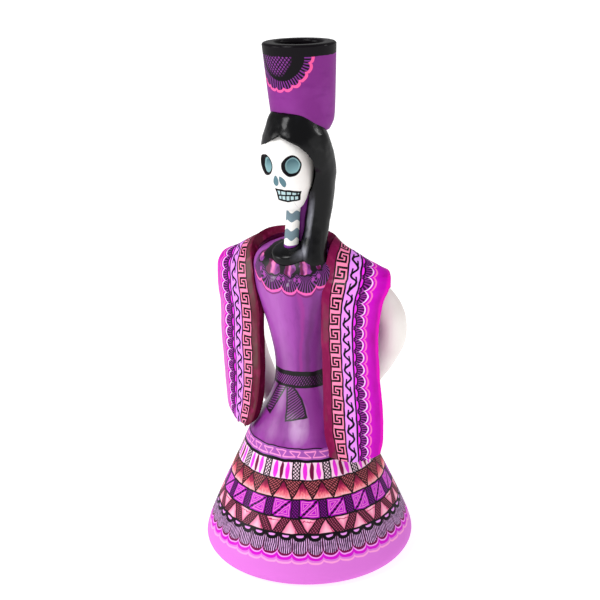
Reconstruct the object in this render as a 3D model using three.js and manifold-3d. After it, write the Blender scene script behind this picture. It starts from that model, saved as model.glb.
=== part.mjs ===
// A painted clay candlestick in the form of a skeleton woman. She stands in a bell skirt
// and a belted bodice, her hands on her hips, with a stole over both shoulders and long
// hair swept over her left shoulder. The tall hat on her head is the candle socket.
//
// Millimetres, +Z up. She faces -Y, and her left is +X. The origin is the centre of the
// hem's circle, on the table. The figure is one piece of fired clay, so it is one mesh:
// each form is a closed skin over a row of rings, and the forms are then joined.
import * as THREE from "three";
import { mergeVertices } from "three/addons/utils/BufferGeometryUtils.js";
import Module from "manifold-3d";

const wasm = await Module();
wasm.setup();

// Driving sizes. The pose and the proportions of each form are shares of these.
const figureHeight = 278; // table to the rim of the socket
const hemRadius = 57.5; // widest ring of the skirt
const waistRadius = 14.3; // narrowest ring of the bodice
const chestRadius = 25; // half width across the chest
const skirtWall = 6; // clay left around the hollow of the skirt
const candleDiameter = 22; // a household candle
const candleClearance = 1; // gap all round the candle
const socketWall = 6.7; // rim of the socket
const socketDepth = 28; // how far the candle goes in
const neckRadius = 3.6;
const neckbandRadius = 10; // black band at the foot of the neck
const postRadius = 5.8; // post behind the neck, which carries the head
const skullHalfWidth = 13.7;
const eyeRadius = 5; // rim of an eye socket
const eyeDepth = 2.2; // how deep an eye socket is pressed in
const armRadius = 7.9; // upper arm; it thins towards the hand
const shawlThickness = 5;
const shawlCrown = 2.6; // how far the middle of the stole's width stands proud
const shawlSag = 3.6; // how far the rounded lower end hangs below its corners
const headTurn = 12; // degrees that the face looks towards her left

const roundSides = 40; // facets round the skirt and the hat
const limbSides = 14; // facets round an arm or the neck

// The pose, the proportions and the places of the forms are read at this height, and grow
// with the figure.
const poseHeight = 278;
const posed = (value) => (value * figureHeight) / poseHeight;

// A smooth curve through rows of numbers. The first number of each row is the place along it.
function smooth(rows) {
  const size = rows[0].length - 1;
  const places = rows.map((row) => row[0]);
  const values = rows.flatMap((row) => row.slice(1));
  const curve = new THREE.CubicInterpolant(places, values, size);
  return (place) => Array.from(curve.evaluate(place));
}

const steps = (from, to, count) =>
  Array.from({ length: count + 1 }, (_, i) => from + ((to - from) * i) / count);

// A closed ring of points: an ellipse about a centre, on two half axes.
function ellipse(centre, halfA, halfB, sides) {
  return Array.from({ length: sides }, (_, i) => {
    const turn = (2 * Math.PI * i) / sides;
    return centre
      .clone()
      .addScaledVector(halfA, Math.cos(turn))
      .addScaledVector(halfB, Math.sin(turn));
  });
}

// A level ellipse at a height, turned about +Z by an angle in degrees.
function levelRing(height, x, y, halfX, halfY, sides, turn = 0) {
  const angle = THREE.MathUtils.degToRad(turn);
  const a = new THREE.Vector3(Math.cos(angle), Math.sin(angle), 0).multiplyScalar(halfX);
  const b = new THREE.Vector3(-Math.sin(angle), Math.cos(angle), 0).multiplyScalar(halfY);
  return ellipse(new THREE.Vector3(x, y, height), a, b, sides);
}

// Skins a row of rings with as many points each, and closes both ends.
function skin(rings) {
  const sides = rings[0].length;
  const points = rings.flat();
  const middle = (ring) =>
    ring.reduce((sum, p) => sum.add(p), new THREE.Vector3()).divideScalar(ring.length);
  const first = points.push(middle(rings[0])) - 1;
  const last = points.push(middle(rings.at(-1))) - 1;
  const faces = [];
  for (let r = 0; r + 1 < rings.length; r++)
    for (let s = 0; s < sides; s++) {
      const next = (s + 1) % sides;
      const [a, b] = [r * sides + s, r * sides + next];
      faces.push(a, b, b + sides, a, b + sides, a + sides);
    }
  const top = (rings.length - 1) * sides;
  for (let s = 0; s < sides; s++) {
    const next = (s + 1) % sides;
    faces.push(first, next, s);
    faces.push(last, top + s, top + next);
  }
  const geometry = new THREE.BufferGeometry().setFromPoints(points);
  geometry.setIndex(faces);
  return geometry;
}

// A closed geometry as a solid. One that was skinned inside out is turned round.
function solid(geometry) {
  const bare = geometry.clone();
  bare.deleteAttribute("normal");
  bare.deleteAttribute("uv");
  const merged = mergeVertices(bare, 1e-4);
  const vertProperties = new Float32Array(merged.attributes.position.array);
  const faces = new Uint32Array(merged.index.array);
  const make = (triVerts) => new wasm.Manifold(new wasm.Mesh({ numProp: 3, vertProperties, triVerts }));
  const made = make(faces);
  return made.volume() > 0 ? made : make(faces.reverse());
}

// Skirt and bodice: [height, centre x, centre y, half width, half depth].
function bodyRows() {
  const skirt = (share) => waistRadius + (hemRadius - waistRadius) * share;
  const chest = (share) => waistRadius + (chestRadius - waistRadius) * share;
  const flare = [
    [0, 0.81], [1.5, 0.89], [4, 0.96], [8, 1], [13, 0.98], [20, 0.919], [28, 0.84],
    [38, 0.736], [50, 0.606], [62, 0.477], [69, 0.4], [73.5, 0.34],
  ].map(([height, share]) => {
    const lean = posed(Math.max(0, height - 55) / 14);
    return [posed(height), 0, -lean, skirt(share), skirt(share)];
  });
  const bodice = [
    [81.5, 0, -1.8, skirt(0.226), skirt(0.226)],
    [87, 0, -2.7, skirt(0.134), skirt(0.129)],
    [93.5, -0.2, -3.6, skirt(0.062), skirt(0.04)],
    [99, -0.3, -4.2, chest(0.064), chest(-0.07)],
    [106.5, -0.3, -4.3, chest(0), chest(-0.15)],
    [114, -0.2, -4.4, chest(0.04), chest(-0.12)],
    [122, -0.1, -4.6, chest(0.18), chest(-0.04)],
    [131.5, 0, -5.1, chest(0.38), chest(0.09)],
    [141, 0.2, -5.6, chest(0.67), chest(0.22)],
    [151, 0.4, -6.1, chest(0.95), chest(0.32)],
    [159.5, 0.5, -6.4, chest(1), chest(0.33)],
    [164.8, -0.5, -6.2, chest(0.95), chest(0.2)],
    [169.8, -2.2, -5.7, chest(0.58), chest(0)],
    [173.2, -2.9, -3.9, chest(0.12), chest(-0.27)],
    [175.8, -2.5, -1, chest(-0.44), chest(-0.68)],
  ].map(([height, x, y, halfX, halfY]) => [posed(height), posed(x), posed(y), halfX, halfY]);
  return [...flare, ...bodice];
}

const body = smooth(bodyRows());

function dress() {
  const heights = [
    ...[0, 1.5, 4, 8, 13].map(posed),
    ...steps(posed(19), posed(93.5), 12),
    ...steps(posed(99), posed(159.5), 7),
    ...[164.8, 169.8, 173.2, 175.8].map(posed),
  ];
  return solid(skin(heights.map((height) => levelRing(height, ...body(height), roundSides))));
}

// The hollow of the skirt follows its outside, and closes in a dome under the hips.
function hollow() {
  const top = posed(77);
  const dome = posed(16);
  const below = 1;
  const rings = [-below, ...steps(0, top - dome, 6), ...steps(top - dome * 0.75, top - dome * 0.02, 4)];
  return solid(
    skin(
      rings.map((height) => {
        const [x, y, halfX] = body(Math.max(height, 0));
        const rise = Math.max(0, (height - top + dome) / dome);
        const radius = (halfX - skirtWall * 1.09) * Math.sqrt(Math.max(0.01, 1 - rise * rise));
        return levelRing(height, x, y, radius, radius, 32);
      }),
    ),
  );
}

// The hat is the candle socket.
const socketRadius = candleDiameter / 2 + candleClearance;
const rimRadius = socketRadius + socketWall;
const hatFoot = new THREE.Vector3(posed(2.2), posed(-1.1), posed(234.5));
const hatRim = new THREE.Vector3(posed(0.9), posed(-1.8), figureHeight);

function hat() {
  const along = (share) => hatFoot.clone().lerp(hatRim, share);
  const edge = 1.2; // rounding of the rim
  const wall = smooth([
    [0, 0.71], [0.05, 0.78], [0.12, 0.846], [0.3, 0.893], [0.6, 0.942], [0.92, 0.99], [1, 1],
  ]);
  const outside = [0, 0.05, 0.12, 0.36, 0.62, 0.86, 0.97].map((share) => {
    const centre = along(share);
    const radius = rimRadius * wall(share)[0];
    return levelRing(centre.z, centre.x, centre.y, radius, radius, roundSides);
  });
  const flat = rimRadius - edge;
  outside.push(levelRing(figureHeight, hatRim.x, hatRim.y, flat, flat, roundSides));
  const floor = hatRim.clone().setZ(figureHeight - socketDepth);
  const mouth = 1;
  const bore = [floor.z, figureHeight - mouth, figureHeight + mouth].map((height, i) => {
    const radius = socketRadius + (i === 2 ? mouth * 1.2 : 0);
    return levelRing(height, hatRim.x, hatRim.y, radius, radius, 32);
  });
  return { outside: solid(skin(outside)), bore: solid(skin(bore)) };
}

// A tube through points, with a half width and a half depth at each. Its section stays level
// with the floor's Y axis as far as it can.
function limb(rows, sides = limbSides, count = 16) {
  const places = rows.map((row) => new THREE.Vector3(...row.slice(0, 3).map(posed)));
  const path = new THREE.CatmullRomCurve3(places);
  const last = rows.length - 1;
  const thickness = smooth(rows.map(([, , , across, deep], i) => [i / last, across, deep]));
  const rings = steps(0, 1, count).map((t) => {
    const [across, deep] = thickness(t);
    const ahead = path.getTangent(t);
    const side = new THREE.Vector3(0, 1, 0).cross(ahead).normalize();
    const back = ahead.clone().cross(side).normalize();
    return ellipse(path.getPoint(t), side.multiplyScalar(across), back.multiplyScalar(deep), sides);
  });
  return solid(skin(rings));
}

// Arms akimbo. Her left elbow stands well out, and her right arm hangs closer.
function arms() {
  const wrist = armRadius * 0.75;
  const leftArm = [
    [19, -2.5, 158, armRadius * 0.9, armRadius * 0.9],
    [30.5, 0.5, 154, armRadius * 0.95, armRadius],
    [41.5, 5, 147.5, armRadius, armRadius],
    [47.5, 7.5, 135.5, armRadius, armRadius],
    [45.5, 7.5, 122.5, armRadius, armRadius],
    [36.4, 6.5, 107.6, armRadius * 0.94, armRadius],
    [27, 4, 94, wrist, armRadius * 0.9],
    [18, 2, 83, wrist * 0.8, armRadius * 0.6],
  ];
  const rightArm = [
    [-17, -2.5, 157.5, armRadius * 0.9, armRadius * 0.9],
    [-28.5, 0.5, 153, armRadius * 0.95, armRadius],
    [-38, 4.5, 143, armRadius * 0.95, armRadius],
    [-41.5, 8, 128, armRadius * 0.95, armRadius],
    [-40.5, 8.5, 113, armRadius * 0.95, armRadius],
    [-34.5, 6, 99.5, armRadius * 0.92, armRadius],
    [-25.5, 3, 87, wrist, armRadius * 0.9],
    [-18, 0.5, 78.5, wrist * 0.8, armRadius * 0.6],
  ];
  return [limb(leftArm), limb(rightArm)];
}

// The stole: a band across the back, over both shoulders and down in front to the hips.
// Each row is [inner x, y, height, outer x, y, height], from her right hip round her back.
function shawl() {
  const rightHalf = [
    [-26, -20, 72, -31, -18, 72.8],
    [-22, -21.5, 75.2, -38.8, -12.8, 75.4],
    [-18.6, -22, 80.5, -42.6, -11, 80],
    [-16.2, -21.5, 90, -44.2, -9.9, 89],
    [-15.6, -19.3, 105.5, -45.6, -9, 104],
    [-16.6, -17.5, 123.5, -46.9, -8.5, 121],
    [-17, -16.5, 139.5, -47.3, -7.5, 137.5],
    [-20.5, -14.5, 153, -49.4, -6.3, 149],
    [-24, -10.5, 165.6, -50, -3.5, 160],
    [-26.5, -3, 172.5, -46.5, 4, 162.5],
    [-23, 6, 176, -36.5, 11.5, 160],
    [-14.5, 10.5, 177.5, -23.5, 15, 152.5],
    [-5, 11.5, 178, -10, 16.5, 147],
  ];
  const leftHalf = [
    [6, 11.5, 177, 9, 16.5, 147],
    [12.5, 8.5, 175.3, 25.5, 15, 152],
    [16, 1.5, 175.4, 37, 11, 159.5],
    [18, -6, 171.3, 46.8, 3.5, 161.6],
    [19.6, -12.5, 160.5, 52.2, -3, 159],
    [20, -14.6, 154.5, 50.4, -5.6, 153],
    [20.3, -16, 148.5, 48.6, -7, 147],
    [20.6, -17, 132, 47.2, -8, 132],
    [22, -18.5, 111, 48.5, -9, 110.5],
    [23, -21, 94, 51.2, -9.5, 93.5],
    [25.3, -25, 79.5, 51.6, -10.5, 78.5],
    [29.5, -28.5, 69.1, 49.6, -12, 69.2],
  ];
  const rows = [...rightHalf, ...leftHalf].map((row) => row.map(posed));
  const edge = (start) => {
    const points = rows.map((row) => new THREE.Vector3(...row.slice(start, start + 3)));
    return new THREE.CatmullRomCurve3(points);
  };
  const inner = edge(0);
  const outer = edge(3);
  const crossing = 6; // facets across the width
  const count = 48;
  const rings = steps(0, 1, count).map((t) => {
    const from = inner.getPoint(t);
    const to = outer.getPoint(t);
    const width = to.clone().sub(from);
    const along = inner.getTangent(t).add(outer.getTangent(t)).normalize();
    const out = along.clone().cross(width).normalize();
    const flatness = Math.max(0.2, 1 - 1.6 * Math.abs(out.z));
    const ending = Math.max(0, (t - 1) * (rows.length - 1) + 0.8) / 0.8;
    const front = [];
    const back = [];
    for (const share of steps(0, 1, crossing)) {
      const crown = shawlCrown * flatness * (1 - (2 * share - 1) ** 2);
      const round = Math.sqrt(Math.max(0, 1 - (2 * share - 1) ** 8));
      const half = (shawlThickness / 2) * (0.62 + 0.38 * round);
      const middle = from.clone().addScaledVector(width, share).addScaledVector(out, crown);
      middle.z -= shawlSag * ending ** 2 * (1 - (2 * share - 1) ** 2);
      front.push(middle.clone().addScaledVector(out, half));
      back.push(middle.clone().addScaledVector(out, -half));
    }
    return [...front, ...back.reverse()];
  });
  return solid(skin(rings));
}

// Neck, the black band at its foot, and the post behind it that carries the head.
function neck() {
  const bone = limb(
    [
      [0, -13.5, 167, neckRadius * 1.15, neckRadius * 1.15],
      [0.4, -13, 177.5, neckRadius * 1.05, neckRadius * 1.05],
      [1.5, -12.4, 193, neckRadius, neckRadius],
      [1.7, -12, 205.5, neckRadius * 1.1, neckRadius * 1.1],
    ],
    limbSides,
    5,
  );
  const post = limb(
    [
      [1.1, -3.2, 160, postRadius * 1.3, postRadius * 1.3],
      [1.3, -3.5, 176, postRadius, postRadius],
      [2, -3.3, 197, postRadius, postRadius],
      [1.8, -2.9, 227.5, postRadius, postRadius],
    ],
    limbSides,
    6,
  );
  const tilt = THREE.MathUtils.degToRad(20);
  const ahead = new THREE.Vector3(0, -Math.cos(tilt), -Math.sin(tilt));
  const aside = new THREE.Vector3(1, 0, 0);
  const up = new THREE.Vector3(0, -Math.sin(tilt), Math.cos(tilt));
  const foot = new THREE.Vector3(posed(0), posed(-13.5), posed(171.3));
  const band = [
    [-4, 0.84], [-0.6, 0.99], [1.2, 1], [2.9, 0.93], [3.7, 0.78], [3.6, 0.5],
  ].map(([rise, share]) =>
    ellipse(
      foot.clone().addScaledVector(up, posed(rise)),
      aside.clone().multiplyScalar(neckbandRadius * share),
      ahead.clone().multiplyScalar(neckbandRadius * share * 0.94),
      28,
    ),
  );
  return [bone, post, solid(skin(band))];
}

// Skull: a round cranium over a narrow jaw, with two pressed eye sockets. The head leans to
// her right, so the jaw stands to the left of the cranium.
const skullCentre = new THREE.Vector3(posed(-1.4), posed(-12.2), posed(219));

function skull() {
  const rows = [
    [195, 0.16, 0.22, 3, -1.9], [196.3, 0.36, 0.44, 3, -1.8], [200, 0.54, 0.62, 2.8, -1.4],
    [202.5, 0.61, 0.7, 2.7, -1.2], [205, 0.7, 0.78, 2.2, -1], [207.5, 0.82, 0.88, 1.5, -0.6],
    [210.5, 0.88, 0.94, 1.2, -0.2], [213.5, 0.92, 0.98, 0.8, 0], [217.5, 0.98, 1.01, 0.3, 0],
    [222, 1, 1.02, 0, 0], [226, 0.98, 1, 0, 0], [231, 0.86, 0.88, 0, 0.4],
    [235, 0.66, 0.68, 0, 0.8], [238, 0.4, 0.42, 0, 1],
  ];
  const form = smooth(rows.map(([height, ...rest]) => [posed(height), ...rest]));
  const jaw = [195, 196.3, 200, 202.5, 205, 207.5, 210.5, 213.5];
  const cranium = [217.5, 222, 226, 230, 234, 238];
  const heights = [...jaw, ...cranium].map(posed);
  const section = (height) => {
    const [across, deep, side, back] = form(height);
    return {
      x: skullCentre.x + posed(side),
      y: skullCentre.y + posed(back),
      halfX: skullHalfWidth * across,
      halfY: skullHalfWidth * deep,
    };
  };
  const head = solid(
    skin(
      heights.map((height) => {
        const { x, y, halfX, halfY } = section(height);
        return levelRing(height, x, y, halfX, halfY, 28, headTurn);
      }),
    ),
  );
  const press = [-1, 1].map((side) => {
    const height = posed(220);
    const { x, y, halfX } = section(height);
    const turn = THREE.MathUtils.degToRad(headTurn + side * 30);
    const normal = new THREE.Vector3(Math.sin(turn), -Math.cos(turn), 0);
    const face = new THREE.Vector3(x, y, height).addScaledVector(normal, halfX);
    const radius = (eyeRadius ** 2 + eyeDepth ** 2) / (2 * eyeDepth);
    const ball = new THREE.SphereGeometry(radius, 24, 16);
    ball.translate(...face.addScaledVector(normal, radius - eyeDepth).toArray());
    return solid(ball);
  });
  return press.reduce((made, ball) => made.subtract(ball), head);
}

// Hair: a cap over the cranium that narrows to one long lock. The lock passes beside the
// neck and lies on the front of her left shoulder.
function hair() {
  const turn = 30; // degrees about +Z, from X to the short axis of the lock
  const rows = [
    [163, 6, -16, 3.6, 3.6], [164.5, 5.9, -15.5, 6.2, 5.7], [168, 5.1, -14.7, 7.4, 7.3],
    [173, 4.6, -13.4, 7.3, 7.7], [180.5, 5.9, -11.4, 6.6, 7.6], [192, 8.1, -8.8, 6.6, 8.2],
    [201, 9.3, -7.2, 7.1, 9.8], [207, 7.4, -5.6, 9.4, 11.8], [213, 3.4, -5.6, 14.2, 13.9],
    [219.5, -0.9, -7.4, 18, 16.7], [225.5, -2.4, -8.4, 18.2, 17.4], [232.5, -2.8, -8.6, 16.5, 16.2],
    [238, -3.3, -8.2, 14.1, 13.9], [241.5, -3.4, -7.6, 12.9, 12.6], [243.6, -3.1, -7.2, 12, 11.7],
    [245, -3, -6.8, 10.4, 9.8], [246, -2, -5, 6, 6],
  ];
  const form = smooth(rows.map(([height, ...rest]) => [height, ...rest].map(posed)));
  const angle = THREE.MathUtils.degToRad(turn);
  const lock = [163, 164.5, 168, 173, 179, 185, 191.5, 198, 203, 207];
  const cap = [211, 215, 219.5, 225.5, 230, 234, 238, 241.5, 243.6, 245, 246];
  const heights = [...lock, ...cap].map(posed);
  const mass = solid(
    skin(
      heights.map((height) => {
        const [across, deep, halfAcross, halfDeep] = form(height);
        const x = across * Math.cos(angle) - deep * Math.sin(angle);
        const y = across * Math.sin(angle) + deep * Math.cos(angle);
        return levelRing(height, x, y, halfAcross, halfDeep, 28, turn);
      }),
    ),
  );
  return mass.subtract(faceOpening());
}

// The part of the cap that is open in front of the face, with a peak at the parting.
function faceOpening() {
  const shape = new THREE.Shape();
  const line = [
    [-24, -36], [-24, -1.5], [-15, -1], [-14, 1.5], [-12.5, 5.2], [-9.5, 9], [-5.3, 12.2],
    [0, 15.2], [5.5, 13], [10.5, 10.5], [14, 7], [16, 3], [16.5, -1], [16, -5.2], [14.5, -10],
    [12, -15], [9.6, -19], [7.4, -26], [7.2, -36],
  ];
  line.forEach(([x, y], i) => (i ? shape.lineTo(posed(x), posed(y)) : shape.moveTo(posed(x), posed(y))));
  const reach = posed(40);
  const behind = posed(4.5);
  const prism = new THREE.ExtrudeGeometry(shape, { depth: reach, bevelEnabled: false });
  prism.rotateX(Math.PI / 2);
  prism.translate(0, behind, 0);
  prism.rotateZ(THREE.MathUtils.degToRad(headTurn));
  prism.translate(skullCentre.x, skullCentre.y, skullCentre.z);
  return solid(prism);
}

// Joins the forms, then takes the hollows out of them.
function figure() {
  const { outside, bore } = hat();
  const forms = [outside, ...arms(), shawl(), ...neck(), skull(), hair()];
  const joined = forms.reduce((made, form) => made.add(form), dress());
  return joined.subtract(hollow()).subtract(bore);
}

function toMesh(name, form, material) {
  const mesh = form.getMesh();
  const points = new Float32Array(mesh.numVert * 3);
  for (let i = 0; i < mesh.numVert; i++)
    points.set(mesh.vertProperties.subarray(i * mesh.numProp, i * mesh.numProp + 3), i * 3);
  const geometry = new THREE.BufferGeometry();
  geometry.setAttribute("position", new THREE.BufferAttribute(points, 3));
  geometry.setIndex(new THREE.BufferAttribute(mesh.triVerts, 1));
  geometry.computeVertexNormals();
  const made = new THREE.Mesh(geometry, material);
  made.name = name;
  return made;
}

const paint = new THREE.MeshStandardMaterial({ color: 0x8a3a9c, roughness: 0.42, metalness: 0 });
const group = new THREE.Group();
group.add(toMesh("skeleton_candlestick", figure(), paint));

export default group;
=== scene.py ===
# %% [markdown]
# # A painted clay candlestick: a skeleton woman in a purple dress
# The real figure is one piece of fired clay, shaped by hand, painted in acrylics and
# varnished. Each form that the maker pinched or rolled becomes a piece of its own here, so
# that each can carry its own painted pattern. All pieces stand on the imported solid.

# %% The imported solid, and the tools of the whole lesson
from bisect import bisect_right
from functools import reduce
from math import cos, hypot, pi, radians, sin, sqrt
from operator import add, and_, or_

import bpy
from mathutils import Matrix, Vector


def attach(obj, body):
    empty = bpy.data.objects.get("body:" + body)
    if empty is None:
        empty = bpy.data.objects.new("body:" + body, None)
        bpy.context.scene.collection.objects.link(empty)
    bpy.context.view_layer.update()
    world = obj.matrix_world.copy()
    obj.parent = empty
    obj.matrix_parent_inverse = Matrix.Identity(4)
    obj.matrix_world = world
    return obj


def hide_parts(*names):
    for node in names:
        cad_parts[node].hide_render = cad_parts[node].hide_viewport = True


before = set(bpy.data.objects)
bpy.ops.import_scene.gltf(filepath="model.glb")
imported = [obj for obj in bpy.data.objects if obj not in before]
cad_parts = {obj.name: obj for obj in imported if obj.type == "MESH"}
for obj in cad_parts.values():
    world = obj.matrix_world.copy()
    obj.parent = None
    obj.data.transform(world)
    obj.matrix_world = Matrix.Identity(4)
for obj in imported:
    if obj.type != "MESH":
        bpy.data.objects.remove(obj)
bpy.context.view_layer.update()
bpy.ops.object.select_all(action="DESELECT")
MM = 0.001

# %% [markdown]
# ## Camera
# The photo was taken from in front and a little to her left, slightly from above. The
# camera stands at one measured place. It is turned towards the figure, pitched downwards
# and rolled slightly, because the photographer's frame isn't quite level.

# %% Camera
VIEW_TURN, VIEW_YAW, VIEW_PITCH, VIEW_ROLL = (radians(a) for a in (30.0, 0.229, 18.142, -1.291))
CAMERA_BACK, CAMERA_HEIGHT = 0.62, 0.34534
FOCAL_PIXELS, FRAME_PIXELS, SENSOR = 1225.85, 600, 36.0

camera_place = Vector((0, -CAMERA_BACK, CAMERA_HEIGHT))
bpy.ops.object.camera_add(location=Matrix.Rotation(VIEW_TURN, 3, "Z") @ camera_place)
camera = bpy.context.object
camera.name = "camera"
camera.rotation_euler = (
    Matrix.Rotation(VIEW_TURN + VIEW_YAW, 3, "Z")
    @ Matrix.Rotation(pi / 2 - VIEW_PITCH, 3, "X")
    @ Matrix.Rotation(VIEW_ROLL, 3, "Z")
).to_euler()
camera.data.sensor_width = SENSOR
camera.data.lens = FOCAL_PIXELS / FRAME_PIXELS * SENSOR
bpy.context.scene.camera = camera
print("camera at", [round(v, 4) for v in camera.location], "lens", round(camera.data.lens, 2))

# %% [markdown]
# ## Smooth rows and turned forms
# A potter builds a form ring by ring, and so do we. A disc is extruded upwards and resized
# at each ring, like clay drawn up on a wheel. The ring sizes come from a few measured rows
# with a smooth curve through them, so that no ring makes a visible step.

# %% Smooth rows
def smooth(rows):
    """A smooth curve through rows of numbers. The first number of a row is its place."""
    places = [row[0] for row in rows]

    def slope(i, column):
        before, after = rows[max(i - 1, 0)], rows[min(i + 1, len(rows) - 1)]
        return (after[column] - before[column]) / (after[0] - before[0])

    def at(place):
        i = min(max(bisect_right(places, place) - 1, 0), len(rows) - 2)
        gap = places[i + 1] - places[i]
        t = min(max((place - places[i]) / gap, 0.0), 1.0)
        weights = (2 * t**3 - 3 * t**2 + 1, t**3 - 2 * t**2 + t, 3 * t**2 - 2 * t**3, t**3 - t**2)
        return [
            weights[0] * rows[i][c] + weights[1] * slope(i, c) * gap
            + weights[2] * rows[i + 1][c] + weights[3] * slope(i + 1, c) * gap
            for c in range(1, len(rows[0]))
        ]

    return at


def steps(start, stop, count):
    return [start + (stop - start) * i / count for i in range(count + 1)]


# %% Turned forms and modifiers
CREASE = radians(50)  # edges sharper than this stay sharp


def face_outwards():
    """Ends edit mode with every face of the piece pointing outwards."""
    bpy.ops.mesh.select_all(action="SELECT")
    bpy.ops.mesh.normals_make_consistent(inside=False)
    bpy.ops.object.mode_set(mode="OBJECT")


def turned(name, rings, sides, turn=0.0):
    """A closed form, a disc extruded from ring to ring.
    A ring is [height, x, y, half width, half depth] in mm, turned about +Z at the end."""
    height, x, y, across, deep = rings[0]
    start = Vector((x, y, height)) * MM
    bpy.ops.mesh.primitive_circle_add(vertices=sides, radius=MM, fill_type="TRIFAN", location=start)
    piece = bpy.context.object
    piece.name = piece.data.name = name
    bpy.ops.object.mode_set(mode="EDIT")
    bpy.ops.transform.resize(value=(across, deep, 1), center_override=start)
    for before, after in zip(rings, rings[1:]):
        centre = Vector((after[1], after[2], after[0])) * MM
        move = centre - Vector((before[1], before[2], before[0])) * MM
        bpy.ops.mesh.extrude_region_move(TRANSFORM_OT_translate={"value": move})
        grow = (after[3] / before[3], after[4] / before[4], 1)
        bpy.ops.transform.resize(value=grow, center_override=centre)
    face_outwards()
    bpy.ops.object.transform_apply(location=True, rotation=True, scale=True)
    piece.rotation_euler.z = radians(turn)
    bpy.ops.object.transform_apply(location=False, rotation=True, scale=False)
    return piece


def select_only(piece):
    bpy.ops.object.select_all(action="DESELECT")
    piece.select_set(True)
    bpy.context.view_layer.objects.active = piece


def modify(piece, kind, **settings):
    """Adds one modifier and applies it."""
    bpy.context.view_layer.objects.active = piece
    modifier = piece.modifiers.new(kind.title(), kind)
    for key, value in settings.items():
        setattr(modifier, key, value)
    bpy.ops.object.modifier_apply(modifier=modifier.name)


def knead(piece, strength, size):
    """Moves the surface in and out a little, as fingers leave it."""
    lumps = bpy.data.textures.new("finger marks", "CLOUDS")
    lumps.noise_scale = size * MM
    modify(piece, "DISPLACE", texture=lumps, strength=strength * MM, mid_level=0.5)


def finish_piece(piece, slot, *materials):
    """Paints a piece, smooths its shading, hangs it from the root, and hides the imported solid."""
    slots = piece.data.materials
    for i, material in enumerate(materials):
        if i < len(slots):
            slots[i] = material
        else:
            slots.append(material)
    select_only(piece)
    bpy.ops.object.shade_smooth_by_angle(angle=CREASE)
    bpy.ops.object.select_all(action="DESELECT")
    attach(piece, "root")
    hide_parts("skeleton_candlestick")
    print(piece.name, len(piece.data.polygons), "faces")


# %% [markdown]
# ## Skirt and bodice
# The bell of the skirt has a wall of 6 mm, and is hollow and open below, as fired clay has
# to be. The skirt is drawn from the belt down over the hem and up the inside again, in one
# row of rings. The bodice goes on from the same ring, up to the foot of the neck.

# %% Rows of the dress
WAIST, HEM, CHEST = 14.3, 57.5, 25.0
BELT_FOOT = 98.6
SKIRT_WALL = 6.54
HOLLOW_TOP, DOME = 77.0, 16.0


def of_skirt(share):
    return WAIST + (HEM - WAIST) * share


def of_chest(share):
    return WAIST + (CHEST - WAIST) * share


flare = [
    (0, 0.81), (1.5, 0.89), (4, 0.96), (8, 1), (13, 0.98), (20, 0.919), (28, 0.84), (38, 0.736),
    (50, 0.606), (62, 0.477), (69, 0.4), (73.5, 0.34),
]
dress_rows = [
    (z, 0, -max(0, z - 55) / 14, of_skirt(share), of_skirt(share)) for z, share in flare
] + [
    (81.5, 0, -1.8, of_skirt(0.226), of_skirt(0.226)),
    (87, 0, -2.7, of_skirt(0.134), of_skirt(0.129)),
    (93.5, -0.2, -3.6, of_skirt(0.062), of_skirt(0.04)),
] + [
    (z, x, y, of_chest(across), of_chest(deep)) for z, x, y, across, deep in [
        (99, -0.3, -4.2, 0.064, -0.07), (106.5, -0.3, -4.3, 0, -0.15), (114, -0.2, -4.4, 0.04, -0.12),
        (122, -0.1, -4.6, 0.18, -0.04), (131.5, 0, -5.1, 0.38, 0.09), (141, 0.2, -5.6, 0.67, 0.22),
        (151, 0.4, -6.1, 0.95, 0.32), (159.5, 0.4, -6.4, 1, 0.33), (164.8, -0.5, -6.2, 0.95, 0.2),
        (169.8, -2.2, -5.7, 0.58, 0), (173.2, -2.9, -3.9, 0.12, -0.27), (175.8, -2.5, -1, -0.44, -0.68),
    ]
]
dress = smooth(dress_rows)
print("dress from", dress_rows[0][0], "to", dress_rows[-1][0], "mm")

# %% Skirt
outer = [(z, *dress(z)) for z in steps(BELT_FOOT, 4, 66) + [3.2, 2.4, 1.6, 0.9, 0.4, 0.1, 0]]
hollow = []
for z in [0, 0.5] + steps(1.5, HOLLOW_TOP - DOME, 28) + steps(HOLLOW_TOP - DOME * 0.9, HOLLOW_TOP - 0.1, 9):
    x, y, across, deep = dress(z)
    rise = max(0.0, (z - HOLLOW_TOP + DOME) / DOME)
    inside = (across - SKIRT_WALL) * sqrt(max(0.004, 1 - rise * rise))
    inside += 0.7 if z == 0 else 0
    hollow.append((z, x, y, inside, inside))
skirt = turned("skirt", outer + hollow, 160)

# %% Bodice
bodice = turned("bodice", [(z, *dress(z)) for z in steps(BELT_FOOT, 175.8, 66)], 128)

# %% [markdown]
# ## Neck
# A black ring lies round the foot of the neck, tilted forwards. The thin neck bone stands
# in it, and a thicker purple post behind the bone carries the head. The ring is turned
# upright, then tilted. Bone and post are tubes along a curve with a radius at each point.

# %% Tubes
def tube(name, rows, sides, count):
    """A capped tube along rows of [x, y, z, radius] in mm."""
    path = smooth([(i, *row) for i, row in enumerate(rows)])
    curve = bpy.data.curves.new(name, "CURVE")
    curve.dimensions = "3D"
    curve.bevel_depth = 1.0
    curve.bevel_resolution = sides
    curve.use_fill_caps = True
    spline = curve.splines.new("POLY")
    spline.points.add(count)
    for point, place in zip(spline.points, steps(0, len(rows) - 1, count)):
        x, y, z, radius = path(place)
        point.co = (x * MM, y * MM, z * MM, 1)
        point.radius = radius * MM
    piece = bpy.data.objects.new(name, curve)
    bpy.context.collection.objects.link(piece)
    select_only(piece)
    bpy.ops.object.convert(target="MESH")
    bpy.ops.object.mode_set(mode="EDIT")
    face_outwards()
    return bpy.context.object


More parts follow.
